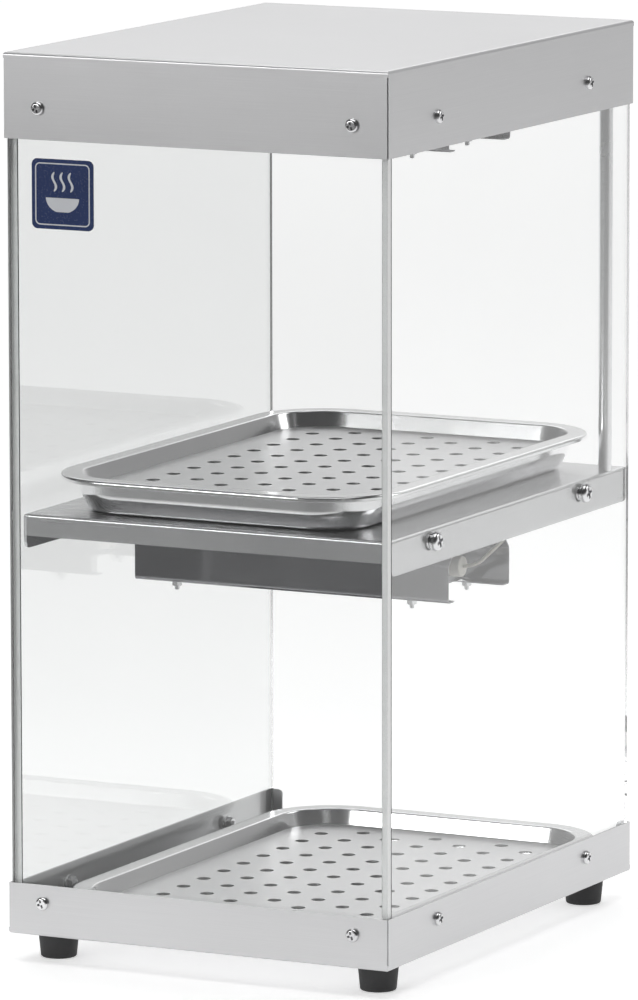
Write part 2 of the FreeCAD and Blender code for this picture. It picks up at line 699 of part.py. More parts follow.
def make_plate(level, place, z):
    """Perforated plate that drops in until the tray's sloping wall holds it; its holes are staggered."""
    slope = tray_wall_run * (tray_height - plate_rise) / tray_height
    inset = tray_rim + tray_sheet + slope + plate_gap
    width, length = tray_width - 2 * inset, tray_length - 2 * inset
    corner = tray_corner - inset + plate_gap
    plate = rounded_plate(width, length, corner, plate_rise, plate_sheet, (0, 0))
    column_pitch = hole_pitch * math.sqrt(3) / 2
    holes = []
    for column in range(hole_columns):
        x = (column - (hole_columns - 1) / 2) * column_pitch
        count = 10 if column % 2 == 0 else 11
        for row in range(count):
            y = (row - (count - 1) / 2) * hole_pitch
            holes.append(rod(hole_radius, Vector(x, y, plate_rise - 1), z_axis, plate_sheet + 2))
    plate = drill(plate, holes)
    plate.translate(Vector(place[0], place[1], z))
    save(level + "_drip_plate", plate)


def make_badge():
    """Small rounded plate stuck to the front pane's outer face, high on the left."""
    y = sheet + glass_gap
    left, right, low, high = -102.6, -63.6, 419.3, 458.7
    badge = box(left, y - 0.6, low, right, y, high)
    corners = edges_where(badge, lambda p: (near(p.x, left) or near(p.x, right))
                          and (near(p.z, low) or near(p.z, high)))
    save("badge", badge.makeFillet(3.5, corners))


make_casing()
make_glass()
make_feet()
make_skirt_fasteners()
make_shelf()
make_heater("upper", case_top - sheet)
make_heater("lower", shelf_top - sheet)
make_reflector_screws()
make_head_rear()
switch_blades = make_switch("upper", switch_x[0]) + make_switch("lower", switch_x[1])
make_inlet()
make_wiring_cover()
make_conduit()
make_terminals(switch_blades)
make_leads()
for tier, place, rest in (("upper", upper_tray_place, shelf_top), ("lower", lower_tray_place, floor_top)):
    make_tray(tier, place, rest)
    make_plate(tier, place, rest)
make_badge()
print("nodes", len(os.listdir("parts")))
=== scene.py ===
import bpy
import math
import numpy as np
from mathutils import Matrix, Vector


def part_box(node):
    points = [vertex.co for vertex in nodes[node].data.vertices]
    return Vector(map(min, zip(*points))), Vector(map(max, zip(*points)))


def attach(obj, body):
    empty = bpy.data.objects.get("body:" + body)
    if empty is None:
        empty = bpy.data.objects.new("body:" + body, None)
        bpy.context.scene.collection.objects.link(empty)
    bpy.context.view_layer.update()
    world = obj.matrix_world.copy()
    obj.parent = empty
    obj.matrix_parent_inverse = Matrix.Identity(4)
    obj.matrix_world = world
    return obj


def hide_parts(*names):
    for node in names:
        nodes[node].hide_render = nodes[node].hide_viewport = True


# Hot food display case: glass cabinet with a heater over each tray. Metres, +Z up, open back towards +Y.

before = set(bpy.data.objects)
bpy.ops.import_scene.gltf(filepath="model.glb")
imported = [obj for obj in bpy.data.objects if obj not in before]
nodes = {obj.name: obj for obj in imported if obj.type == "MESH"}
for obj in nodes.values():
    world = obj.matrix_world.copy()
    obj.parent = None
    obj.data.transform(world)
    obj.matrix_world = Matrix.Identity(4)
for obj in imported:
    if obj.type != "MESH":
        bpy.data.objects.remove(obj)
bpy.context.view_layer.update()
scene = bpy.context.scene
mm = 0.001


# Camera and studio.

cameraSetup = {
    "place": (2.1651, -4.2902, 0.9994),
    "turn": 26.832,      # degrees round +Z from looking straight at the front
    "dip": 8.864,        # degrees below level
    "roll": -0.069,
    "lens": 305.5,       # millimetres, on the 36 mm side
    "near": 0.1,
    "far": 100.0,
}


def placeCamera(setup):
    data = bpy.data.cameras.new("camera")
    data.lens = setup["lens"]
    data.clip_start = setup["near"]
    data.clip_end = setup["far"]
    camera = bpy.data.objects.new("camera", data)
    scene.collection.objects.link(camera)
    turn = Matrix.Rotation(math.radians(setup["turn"]), 3, "Z")
    tilt = Matrix.Rotation(math.radians(90 - setup["dip"]), 3, "X")
    roll = Matrix.Rotation(math.radians(setup["roll"]), 3, "Z")
    camera.rotation_euler = (turn @ tilt @ roll).to_euler()
    camera.location = setup["place"]
    scene.camera = camera


softboxes = {
    # name: place, point it faces, width, height, watts, how far its light spreads in degrees
    "overhead": ((0.0, -0.3, 2.6), (0.0, -0.1, 0.0), 2.4, 1.8, 26, 160),
    "leftFront": ((-1.7, -3.0, 1.05), (0.0, 0.0, 0.35), 1.8, 0.8, 3.2, 60),
    "rightSide": ((2.4, 1.6, 1.6), (0.1, 0.0, 0.1), 1.2, 1.4, 10, 150),
    "behind": ((-2.2, 4.6, 3.2), (-2.2, 4.0, 0.0), 4.0, 4.0, 54, 160),
}


def placeLights(boxes):
    for name, (place, target, width, height, watts, angle) in boxes.items():
        data = bpy.data.lights.new(name, "AREA")
        data.shape = "RECTANGLE"
        data.size = width
        data.size_y = height
        data.energy = watts
        data.spread = math.radians(angle)
        lamp = bpy.data.objects.new(name, data)
        lamp.location = place
        lamp.rotation_euler = (Vector(target) - Vector(place)).to_track_quat("-Z", "Y").to_euler()
        scene.collection.objects.link(lamp)


roomLight = {
    "base": 0.06,
    # way the light comes from, cosine where it starts and where it is full, strength
    "lobes": [((-0.445, 0.88, 0.154), 0.55, 0.97, 0.64), ((0.45, 0.88, 0.1), 0.55, 0.97, 0.25)],
}


def lightRoom(room):
    world = bpy.data.worlds.new("studio")
    scene.world = world
    world.use_nodes = True
    tree = world.node_tree
    background = tree.nodes["Background"]
    background.inputs["Color"].default_value = (1, 1, 1, 1)
    coords = tree.nodes.new("ShaderNodeTexCoord")
    total = None
    for way, start, full, strength in room["lobes"]:
        dot = tree.nodes.new("ShaderNodeVectorMath")
        dot.operation = "DOT_PRODUCT"
        dot.inputs[1].default_value = Vector(way).normalized()
        tree.links.new(coords.outputs["Generated"], dot.inputs[0])
        lobe = tree.nodes.new("ShaderNodeMapRange")
        lobe.interpolation_type = "SMOOTHSTEP"
        tree.links.new(dot.outputs["Value"], lobe.inputs["Value"])
        lobe.inputs["From Min"].default_value = start
        lobe.inputs["From Max"].default_value = full
        lobe.inputs["To Max"].default_value = strength
        add = tree.nodes.new("ShaderNodeMath")
        tree.links.new(lobe.outputs["Result"], add.inputs[0])
        if total is None:
            add.inputs[1].default_value = room["base"]
        else:
            tree.links.new(total, add.inputs[1])
        total = add.outputs[0]
    tree.links.new(total, background.inputs["Strength"])


floorSheet = {
    "half": 20.0,
    "below": 0.2 * mm,
    "pale": (0.93, 0.93, 0.93, 1),
    "shade": (0.22, 0.22, 0.22, 1),
    "shadeFrom": -0.32,    # painted shade: the sheet's colour darkens forward of this line and is fully shaded at the next
    "shadeFull": -1.0,
    "roughness": 0.7,
    "lift": 0.54,           # light of its own, as of a lit table
}


def layFloor(sheet):
    half = sheet["half"]
    low = -sheet["below"]
    corners = [(-half, -half, low), (half, -half, low), (half, half, low), (-half, half, low)]
    mesh = bpy.data.meshes.new("floor")
    mesh.from_pydata(corners, [], [(0, 1, 2, 3)])
    floor = bpy.data.objects.new("floor", mesh)
    scene.collection.objects.link(floor)
    material = bpy.data.materials.new("floorPaper")
    material.use_nodes = True
    tree = material.node_tree
    shader = tree.nodes["Principled BSDF"]
    parts = tree.nodes.new("ShaderNodeSeparateXYZ")
    tree.links.new(tree.nodes.new("ShaderNodeTexCoord").outputs["Object"], parts.inputs[0])
    # Painted shade: the colour, and the glow that follows it, fades from pale to the shade colour towards
    # the front.
    fade = tree.nodes.new("ShaderNodeMapRange")
    fade.interpolation_type = "SMOOTHSTEP"
    tree.links.new(parts.outputs["Y"], fade.inputs["Value"])
    fade.inputs["From Min"].default_value = sheet["shadeFull"]
    fade.inputs["From Max"].default_value = sheet["shadeFrom"]
    colour = tree.nodes.new("ShaderNodeMix")
    colour.data_type = "RGBA"
    tree.links.new(fade.outputs["Result"], colour.inputs["Factor"])
    colour.inputs[6].default_value = sheet["shade"]
    colour.inputs[7].default_value = sheet["pale"]
    tree.links.new(colour.outputs[2], shader.inputs["Base Color"])
    tree.links.new(colour.outputs[2], shader.inputs["Emission Color"])
    shader.inputs["Emission Strength"].default_value = sheet["lift"]
    shader.inputs["Roughness"].default_value = sheet["roughness"]
    shader.inputs["Specular IOR Level"].default_value = 0.2
    mesh.materials.append(material)


placeCamera(cameraSetup)
placeLights(softboxes)
lightRoom(roomLight)
layFloor(floorSheet)
scene.view_settings.view_transform = "Standard"
print("studio: camera, floor and", len(softboxes), "softboxes")


# Shader building blocks.

def calc(tree, operation, first, second=0.0, third=0.0):
    node = tree.nodes.new("ShaderNodeMath")
    node.operation = operation
    for socket, value in zip(node.inputs, (first, second, third)):
        if isinstance(value, bpy.types.NodeSocket):
            tree.links.new(value, socket)
        else:
            socket.default_value = value
    return node.outputs[0]


def noise(tree, vector, scale, detail=2.0, roughness=0.5):
    node = tree.nodes.new("ShaderNodeTexNoise")
    tree.links.new(vector, node.inputs["Vector"])
    node.inputs["Scale"].default_value = scale
    node.inputs["Detail"].default_value = detail
    node.inputs["Roughness"].default_value = roughness
    return node.outputs[0]


def spread(tree, value, low, high):
    # a 0 to 1 pattern stretched so that its middle runs from low to high
    node = tree.nodes.new("ShaderNodeMapRange")
    tree.links.new(value, node.inputs["Value"])
    node.inputs["From Min"].default_value = 0.25
    node.inputs["From Max"].default_value = 0.75
    node.inputs["To Min"].default_value = low
    node.inputs["To Max"].default_value = high
    return node.outputs["Result"]


def tone(tree, value, dark, light):
    node = tree.nodes.new("ShaderNodeMix")
    node.data_type = "RGBA"
    if isinstance(value, bpy.types.NodeSocket):
        tree.links.new(value, node.inputs["Factor"])
    node.inputs[6].default_value = (*dark, 1)
    node.inputs[7].default_value = (*light, 1)
    return node.outputs[2]


def relief(tree, shader, height, depth):
    bump = tree.nodes.new("ShaderNodeBump")
    bump.inputs["Distance"].default_value = depth
    tree.links.new(height, bump.inputs["Height"])
    tree.links.new(bump.outputs["Normal"], shader.inputs["Normal"])


def objectCoords(tree):
    return tree.nodes.new("ShaderNodeTexCoord").outputs["Object"]


def newGroup(name, inputs, outputs):
    group = bpy.data.node_groups.new(name, "ShaderNodeTree")
    for label, value in inputs.items():
        socket = group.interface.new_socket(label, in_out="INPUT", socket_type="NodeSocketFloat")
        socket.default_value = value
    for label in outputs:
        group.interface.new_socket(label, in_out="OUTPUT", socket_type="NodeSocketFloat")
    return group, group.nodes.new("NodeGroupInput"), group.nodes.new("NodeGroupOutput")


def placeGroup(tree, group, **values):
    node = tree.nodes.new("ShaderNodeGroup")
    node.node_tree = group
    for label, value in values.items():
        node.inputs[label].default_value = value
    return node


def brushGroup():
    # Streaks that run level on upright faces and along X on level ones.
    group, inputs, outputs = newGroup("brushedGrain", {"Fine": 2200.0, "Long": 18.0}, ("Streak", "Cloud"))
    parts = group.nodes.new("ShaderNodeSeparateXYZ")
    coords = objectCoords(group)
    group.links.new(coords, parts.inputs[0])
    facing = group.nodes.new("ShaderNodeSeparateXYZ")
    group.links.new(group.nodes.new("ShaderNodeNewGeometry").outputs["True Normal"], facing.inputs[0])
    level = calc(group, "ABSOLUTE", facing.outputs["Z"])
    step = calc(group, "SUBTRACT", inputs.outputs["Fine"], inputs.outputs["Long"])
    acrossY = calc(group, "MULTIPLY_ADD", step, level, inputs.outputs["Long"])
    joined = group.nodes.new("ShaderNodeCombineXYZ")
    group.links.new(calc(group, "MULTIPLY", parts.outputs["X"], inputs.outputs["Long"]), joined.inputs["X"])
    group.links.new(calc(group, "MULTIPLY", parts.outputs["Y"], acrossY), joined.inputs["Y"])
    group.links.new(calc(group, "MULTIPLY", parts.outputs["Z"], inputs.outputs["Fine"]), joined.inputs["Z"])
    streak = noise(group, joined.outputs[0], 1.0, 3.0, 0.6)
    group.links.new(streak, outputs.inputs["Streak"])
    group.links.new(noise(group, coords, 7.0, 3.0, 0.5), outputs.inputs["Cloud"])
    return group


def handlingGroup():
    # Wiped patches and faint spots, as a mask from clean to marked.
    group, inputs, outputs = newGroup("handlingMarks", {"Patch": 14.0, "Spot": 160.0}, ("Mask", "Fine"))
    coords = objectCoords(group)
    patches = group.nodes.new("ShaderNodeTexNoise")
    group.links.new(coords, patches.inputs["Vector"])
    group.links.new(inputs.outputs["Patch"], patches.inputs["Scale"])
    patches.inputs["Detail"].default_value = 4.0
    patches.inputs["Distortion"].default_value = 0.8
    spots = group.nodes.new("ShaderNodeTexNoise")
    group.links.new(coords, spots.inputs["Vector"])
    group.links.new(inputs.outputs["Spot"], spots.inputs["Scale"])
    group.links.new(spread(group, patches.outputs[0], 0.0, 1.0), outputs.inputs["Mask"])
    group.links.new(spots.outputs[0], outputs.inputs["Fine"])
    return group


def mouldGroup():
    # Spark-eroded mould surface: small rounded cells over finer noise.
    group, inputs, outputs = newGroup("mouldedSkin", {"Cells": 1400.0}, ("Height",))
    coords = objectCoords(group)
    cells = group.nodes.new("ShaderNodeTexVoronoi")
    cells.feature = "SMOOTH_F1"
    group.links.new(coords, cells.inputs["Vector"])
    group.links.new(inputs.outputs["Cells"], cells.inputs["Scale"])
    fine = noise(group, coords, 5200.0, 2.0)
    mixed = calc(group, "MULTIPLY_ADD", fine, 0.4, cells.outputs["Distance"])
    group.links.new(mixed, outputs.inputs["Height"])
    return group


brush = brushGroup()
handling = handlingGroup()
mould = mouldGroup()
roughSwing = 0.05      # how far a moulded or printed skin's roughness wanders either way
steelSwing = 0.03      # the same for brushed steel


def newMaterial(name, **surface):
    material = bpy.data.materials.new(name)
    material.use_nodes = True
    tree = material.node_tree
    shader = tree.nodes["Principled BSDF"]
    for label, value in surface.items():
        shader.inputs[label.replace("_", " ")].default_value = value
    return material, tree, shader


def brushedSteel(name, dark, light, rough, depth=0.000015, grainRough=0.12):
    material, tree, shader = newMaterial(name, Metallic=1.0)
    grain = placeGroup(tree, brush)
    streak, cloud = grain.outputs["Streak"], grain.outputs["Cloud"]
    tree.links.new(tone(tree, streak, dark, light), shader.inputs["Base Color"])
    slow = spread(tree, cloud, rough - steelSwing, rough + steelSwing)
    tree.links.new(calc(tree, "MULTIPLY_ADD", streak, grainRough, slow), shader.inputs["Roughness"])
    relief(tree, shader, streak, depth)
    return material


def mirrorSteel(name, dark, light, rough, marked, ripple=0.0):
    material, tree, shader = newMaterial(name, Metallic=1.0)
    marks = placeGroup(tree, handling)
    tree.links.new(tone(tree, marks.outputs["Mask"], light, dark), shader.inputs["Base Color"])
    fine = calc(tree, "MULTIPLY_ADD", marks.outputs["Fine"], 0.03, rough)
    total = calc(tree, "MULTIPLY_ADD", marks.outputs["Mask"], marked - rough, fine)
    tree.links.new(total, shader.inputs["Roughness"])
    if ripple:
        relief(tree, shader, noise(tree, objectCoords(tree), 22.0, 1.0), ripple)
    return material


def moulded(name, dark, light, rough, depth, cells=1400.0, coat=0.0):
    material, tree, shader = newMaterial(name, Coat_Weight=coat, Coat_Roughness=0.2)
    skin = placeGroup(tree, mould, Cells=cells)
    marks = placeGroup(tree, handling)
    tree.links.new(tone(tree, marks.outputs["Mask"], dark, light), shader.inputs["Base Color"])
    fine = spread(tree, marks.outputs["Fine"], rough - roughSwing, rough + roughSwing)
    tree.links.new(fine, shader.inputs["Roughness"])
    relief(tree, shader, skin.outputs["Height"], depth)
    return material


glassForm = {"cloud": 9.0, "wave": 4.0, "shadowTint": (0.96, 0.97, 0.965, 1)}


def clearGlass(name, dark, light, ior, ripple):
    # Lamps shine straight through; what is seen through it is bent.
    material, tree, shader = newMaterial(name, Roughness=0.0, IOR=ior, Transmission_Weight=1.0)
    coords = objectCoords(tree)
    cloud = noise(tree, coords, glassForm["cloud"])
    tree.links.new(tone(tree, cloud, dark, light), shader.inputs["Base Color"])
    relief(tree, shader, noise(tree, coords, glassForm["wave"], 1.0), ripple)
    output = tree.nodes["Material Output"]
    openWay = tree.nodes.new("ShaderNodeBsdfTransparent")
    openWay.inputs["Color"].default_value = glassForm["shadowTint"]
    path = tree.nodes.new("ShaderNodeLightPath")
    mix = tree.nodes.new("ShaderNodeMixShader")
    tree.links.new(path.outputs["Is Shadow Ray"], mix.inputs["Fac"])
    tree.links.new(shader.outputs[0], mix.inputs[1])
    tree.links.new(openWay.outputs[0], mix.inputs[2])
    tree.links.new(mix.outputs[0], output.inputs["Surface"])
    return material


sleeveForm = {
    "slant": 0.785,
    "lean": 0.6,
    "ribs": 420.0,
    "wander": 0.6,
    "dark": (0.55, 0.52, 0.44),
    "light": (0.83, 0.81, 0.74),
    "depth": 0.12 * mm,
}


def wovenSleeve(name, form):
    # Glass-fibre braid: two sets of slanted ribs that cross.
    material, tree, shader = newMaterial(name, Roughness=0.85, Sheen_Weight=0.3)
    coords = objectCoords(tree)
    heights = []
    for slant in (1, -1):
        turned = tree.nodes.new("ShaderNodeMapping")
        turned.inputs["Rotation"].default_value = (form["lean"] * slant, form["lean"], form["slant"] * slant)
        tree.links.new(coords, turned.inputs["Vector"])
        ribs = tree.nodes.new("ShaderNodeTexWave")
        ribs.inputs["Scale"].default_value = form["ribs"]
        ribs.inputs["Distortion"].default_value = form["wander"]
        tree.links.new(turned.outputs[0], ribs.inputs["Vector"])
        heights.append(ribs.outputs["Fac"])
    braid = calc(tree, "MAXIMUM", heights[0], heights[1])
    # The braid's colour follows rib height and is darker down between the ribs: painted shade in the weave's
    # grooves.
    tree.links.new(tone(tree, braid, form["dark"], form["light"]), shader.inputs["Base Color"])
    relief(tree, shader, braid, form["depth"])
    return material


def printedFilm(name, dark, light, rough):
    material, tree, shader = newMaterial(name, Coat_Weight=0.6, Coat_Roughness=0.08)
    coords = objectCoords(tree)
    tree.links.new(tone(tree, noise(tree, coords, 60.0), dark, light), shader.inputs["Base Color"])
    fine = spread(tree, noise(tree, coords, 900.0), rough - roughSwing, rough + roughSwing)
    tree.links.new(fine, shader.inputs["Roughness"])
    relief(tree, shader, noise(tree, coords, 2500.0), 0.00001)
    return material


finishes = {
    "case": brushedSteel("brushedCase", (0.57, 0.57, 0.58), (0.65, 0.65, 0.655), 0.28),
    "shelf": brushedSteel("brushedShelf", (0.62, 0.62, 0.63), (0.64, 0.64, 0.645), 0.24, 0.000001, 0.03),
    "tray": mirrorSteel("polishedTray", (0.80, 0.80, 0.81), (0.90, 0.90, 0.905), 0.13, 0.19),
    "tube": mirrorSteel("polishedTube", (0.80, 0.80, 0.81), (0.90, 0.90, 0.91), 0.18, 0.26),
    # Painted shade: the reflector's colour is far darker than steel's own, so that everything it mirrors
    # looks dark.
    "reflector": mirrorSteel("reflectorPaintedShade", (0.24, 0.24, 0.25), (0.31, 0.31, 0.32), 0.06, 0.11,
                             0.0002),
    "plate": brushedSteel("satinPlate", (0.58, 0.58, 0.59), (0.67, 0.67, 0.67), 0.30, 0.000006),
    "bolt": mirrorSteel("boltSteel", (0.60, 0.60, 0.61), (0.80, 0.80, 0.81), 0.14, 0.26),
    "brass": mirrorSteel("brassBlade", (0.62, 0.46, 0.22), (0.80, 0.62, 0.32), 0.2, 0.35),
    "glass": clearGlass("paneGlass", (0.908, 0.914, 0.912), (0.925, 0.93, 0.928), 1.5, 0.00004),
    "quartz": clearGlass("quartzTube", (0.97, 0.97, 0.965), (0.99, 0.99, 0.985), 1.46, 0.00002),
    "coil": mirrorSteel("tungstenWire", (0.16, 0.15, 0.15), (0.30, 0.29, 0.28), 0.35, 0.5),
    "edge": moulded("groundEdge", (0.90, 0.91, 0.907), (0.95, 0.955, 0.953), 0.45, 0.00003, 2200.0),
    "ceramic": moulded("ceramicEnd", (0.66, 0.63, 0.57), (0.82, 0.80, 0.74), 0.7, 0.00004, 2600.0),
    "rubber": moulded("rubberFoot", (0.012, 0.012, 0.013), (0.035, 0.035, 0.036), 0.62, 0.00006, 900.0),
    "black": moulded("blackHousing", (0.016, 0.016, 0.018), (0.03, 0.03, 0.033), 0.45, 0.00004),
    "rocker": moulded("rockerCap", (0.02, 0.02, 0.022), (0.035, 0.035, 0.038), 0.28, 0.00001, 2400.0, 0.4),
    "nylon": moulded("nylonBlock", (0.66, 0.65, 0.59), (0.80, 0.79, 0.73), 0.5, 0.00002),
    "bush": moulded("nylonBush", (0.50, 0.50, 0.50), (0.64, 0.64, 0.64), 0.4, 0.00002),
    "sleeve": wovenSleeve("wovenSleeve", sleeveForm),
    "badge": printedFilm("badgeFilm", (0.012, 0.03, 0.12), (0.02, 0.045, 0.16), 0.25),
    "ink": printedFilm("badgeInk", (0.72, 0.74, 0.78), (0.82, 0.84, 0.88), 0.35),
}

nodeFinish = {
    "case": ["top_cover", "base_pan", "head_rear_panel", "wiring_cover"],
    "shelf": ["shelf"],
    "tray": ["upper_tray", "lower_tray"],
    "tube": ["conduit_tube"],
    "reflector": ["lamp_brackets", "guard_straps", "reflector"],
    "plate": ["upper_drip_plate", "lower_drip_plate"],
    "bolt": ["foot_screws", "foot_nuts", "head_screws", "head_washers", "head_nuts", "base_screws",
             "base_washers", "base_nuts", "shelf_screws", "shelf_nuts", "reflector_screws", "panel_screws",
             "cover_screws", "terminal_screws", "earth_stud", "guard_screws"],
    "brass": ["switch_blades", "inlet_blades"],
    "glass": ["front_glass", "left_glass", "right_glass"],
    "quartz": ["lamp_tube"],
    "coil": ["filament"],
    "ceramic": ["lamp_ends"],
    "rubber": ["foot_front_left", "foot_front_right", "foot_rear_left", "foot_rear_right", "conduit_bush"],
    "black": ["switch_body", "inlet_body"],
    "rocker": ["upper_rocker", "lower_rocker"],
    "nylon": ["terminal_block"],
    "bush": ["shelf_bushes"],
    "sleeve": ["heater_leads"],
    "badge": ["badge"],
}


def dressNodes(table):
    dressed = set()
    for finish, names in table.items():
        for name in names:
            for full in (name, "upper_" + name, "lower_" + name):
                if full in nodes:
                    nodes[full].data.materials.clear()
                    nodes[full].data.materials.append(finishes[finish])
                    dressed.add(full)
    bare = set(nodes) - dressed
    print("finishes:", len(finishes), "materials on", len(dressed), "nodes, bare:", sorted(bare))


dressNodes(nodeFinish)


# Mesh building blocks.

def addPiece(name, points, faces, body, finish, sharp=40.0):
    mesh = bpy.data.meshes.new(name)
    mesh.from_pydata(points.tolist(), [], faces)
    mesh.validate()
    mesh.polygons.foreach_set("use_smooth", np.ones(len(mesh.polygons), dtype=bool))
    mesh.set_sharp_from_angle(angle=math.radians(sharp))
    mesh.materials.append(finishes[finish])
    piece = bpy.data.objects.new(name, mesh)
    scene.collection.objects.link(piece)
    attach(piece, body)
    return piece


def gridFaces(rows, columns, closeRows=False, closeColumns=True):
    # quads between neighbouring rows and columns of a grid of points
    row = np.arange(rows if closeRows else rows - 1)
    column = np.arange(columns if closeColumns else columns - 1)
    a = (row[:, None] * columns + column).ravel()
    b = (row[:, None] * columns + (column + 1) % columns).ravel()
    c = (((row + 1) % rows)[:, None] * columns + (column + 1) % columns).ravel()
    d = (((row + 1) % rows)[:, None] * columns + column).ravel()
    return np.stack([a, b, c, d], 1).tolist()


def roundedProfile(corners, steps=7, guard=0.4 * mm):
    # Straight runs joined by arcs. Each corner is (across, up, radius); a guard point just before and
    # after each arc keeps the flats flat when shaded.
    at = np.array([corner[:2] for corner in corners], float)
    line = [at[0]]
    for index in range(1, len(corners) - 1):
        radius = corners[index][2]
        back = at[index - 1] - at[index]
        ahead = at[index + 1] - at[index]
        back /= np.linalg.norm(back)
        ahead /= np.linalg.norm(ahead)
        halfTurn = (math.pi - math.acos(np.clip(back @ ahead, -1, 1))) / 2
        reach = radius * math.tan(halfTurn)
        middle = (back + ahead) / np.linalg.norm(back + ahead)
        centre = at[index] + middle * radius / math.cos(halfTurn)
        start = at[index] + back * reach - centre
        side = start / radius
        across = -back
        turn = np.linspace(0, 2 * halfTurn, steps)[:, None]
        arc = centre + radius * (side * np.cos(turn) + across * np.sin(turn))
        line += [at[index] + back * (reach + guard), *arc, at[index] + ahead * (reach + guard)]
    line.append(at[-1])
    return np.array(line)


def roundedLoop(halfWidth, halfLength, corner, inset, steps=15, guard=2 * mm):
    # Rounded rectangle for each inset: the corner centres stay, and each corner's radius is the outer
    # radius less the inset. Angle runs once round; guard points lie on the straight sides.
    angle, signX, signY, shift = [], [], [], []
    for quarter, (sx, sy) in enumerate(((1, 1), (-1, 1), (-1, -1), (1, -1))):
        sweep = np.linspace(0, math.pi / 2, steps) + quarter * math.pi / 2
        angle += [sweep[0], *sweep, sweep[-1]]
        shift += [-guard, *np.zeros(steps), guard]
        signX += [sx] * (steps + 2)
        signY += [sy] * (steps + 2)
    angle, signX, signY, shift = map(np.array, (angle, signX, signY, shift))
    radius = corner - np.atleast_1d(inset)[:, None]
    x = signX * (halfWidth - corner) + radius * np.cos(angle) - shift * np.sin(angle)
    y = signY * (halfLength - corner) + radius * np.sin(angle) + shift * np.cos(angle)
    return x, y


def middleOf(node):
    low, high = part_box(node)
    return (low + high) / 2


# Ground edges of the panes.

edgeForm = {"inset": 0.42 * mm, "skin": 0.06 * mm, "clear": 0.02 * mm}


def buildEdge(pane, side, form):
    # The ground strip of a pane's edge: a thin skin down its middle, between two polished arrises. Its
    # section is (through the glass, out of the edge) and it runs the pane's whole height.
    low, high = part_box(pane)
    size = high - low
    along = 0 if size.x > size.y else 1
    through = 1 - along
    skin = np.array([(form["inset"], 0), (size[through] - form["inset"], 0)])
    outer = skin + (0, form["clear"] + form["skin"])
    inner = (skin + (0, form["clear"]))[::-1]
    section = np.concatenate([outer, inner])
    depth = section[:, 0] + low[through]
    reach = (high[along] + section[:, 1]) if side > 0 else (low[along] - section[:, 1])
    ground = np.zeros((2, len(section), 3))
    ground[:, :, through] = depth
    ground[:, :, along] = reach
    ground[:, :, 2] = [[low.z], [high.z]]
    faces = gridFaces(2, len(section))
    faces += [list(range(len(section)))[::-1], list(range(len(section), 2 * len(section)))]
    if (side > 0) == (along == 1):
        faces = [face[::-1] for face in faces]
    name = pane + ("_far_edge" if side > 0 else "_near_edge")
    addPiece(name, ground.reshape(-1, 3), faces, "case", "edge", 20.0)


for pane in ("front_glass", "left_glass", "right_glass"):
    for side in (-1, 1):
        buildEdge(pane, side, edgeForm)
print("glass: six ground edges")


# Trays.

trayForm = {
    "corner": 45 * mm,
    "rim": 10.5 * mm,
    "sheet": 0.8 * mm,
    "wallRun": 6.0 * mm,
    "shoulderRun": 0.7 * mm,
    "shoulderRise": 10.0 * mm,
    "shoulderBend": 9.0 * mm,
    "lip": 3.0 * mm,
    "floorBend": 5.0 * mm,
    "rimBend": 1.5 * mm,
    "throatBend": 1.2 * mm,
    "underBend": 0.4 * mm,
    "lipBend": 0.25 * mm,
    "floorEdge": 12 * mm,      # the floor's flat face starts this far inside the foot of the wall
}


def buildTray(level, form):
    # The profile (inset from the rim's edge, height) goes from the floor's inside, up the sloping wall,
    # over the rim, down its lip and back underneath; each of its points is carried round the tray.
    node = level + "_tray"
    low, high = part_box(node)
    top = high.z - low.z
    sheet, rim = form["sheet"], form["rim"]
    outerFoot = rim + form["wallRun"]
    innerFoot = outerFoot + sheet
    shoulder = rim + form["shoulderRun"]
    corners = [
        (innerFoot + form["floorEdge"], sheet, 0),
        (innerFoot, sheet, form["floorBend"] - sheet),
        (rim + sheet, top, form["throatBend"]),
        (0, top, form["rimBend"]),
        (0, top - form["lip"], form["lipBend"]),
        (sheet, top - form["lip"], form["lipBend"]),
        (sheet, top - sheet, form["rimBend"] - sheet),
        (rim, top - sheet, form["underBend"]),
        (shoulder, form["shoulderRise"], form["shoulderBend"]),
        (outerFoot, 0, form["floorBend"]),
        (outerFoot + form["floorEdge"], 0, 0),
    ]
    profile = roundedProfile(corners, guard=0.1 * mm)
    halfWidth, halfLength = (high.x - low.x) / 2, (high.y - low.y) / 2
    x, y = roundedLoop(halfWidth, halfLength, form["corner"], profile[:, 0])
    centre = middleOf(node)
    z = np.repeat(profile[:, 1:2], x.shape[1], 1) + low.z
    points = np.stack([x + centre.x, y + centre.y, z], -1).reshape(-1, 3)
    rows, columns = x.shape
    faces = [quad[::-1] for quad in gridFaces(rows, columns)]
    faces.append(list(range(columns)))
    faces.append(list(range((rows - 1) * columns, rows * columns))[::-1])
    tray = addPiece(level + "_tray_shell", points, faces, node, "tray")
    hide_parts(node)


for level in ("upper", "lower"):
    buildTray(level, trayForm)
print("trays: two pressed shells")


# Heaters.

reflectorForm = {
    "sheet": 0.8 * mm,
    "slopeRise": 30.5 * mm,
    "slopeRun": 25 * mm,
    "lip": 8 * mm,
    "bend": 1.6 * mm,
    "endBand": 0.5 * mm,
}


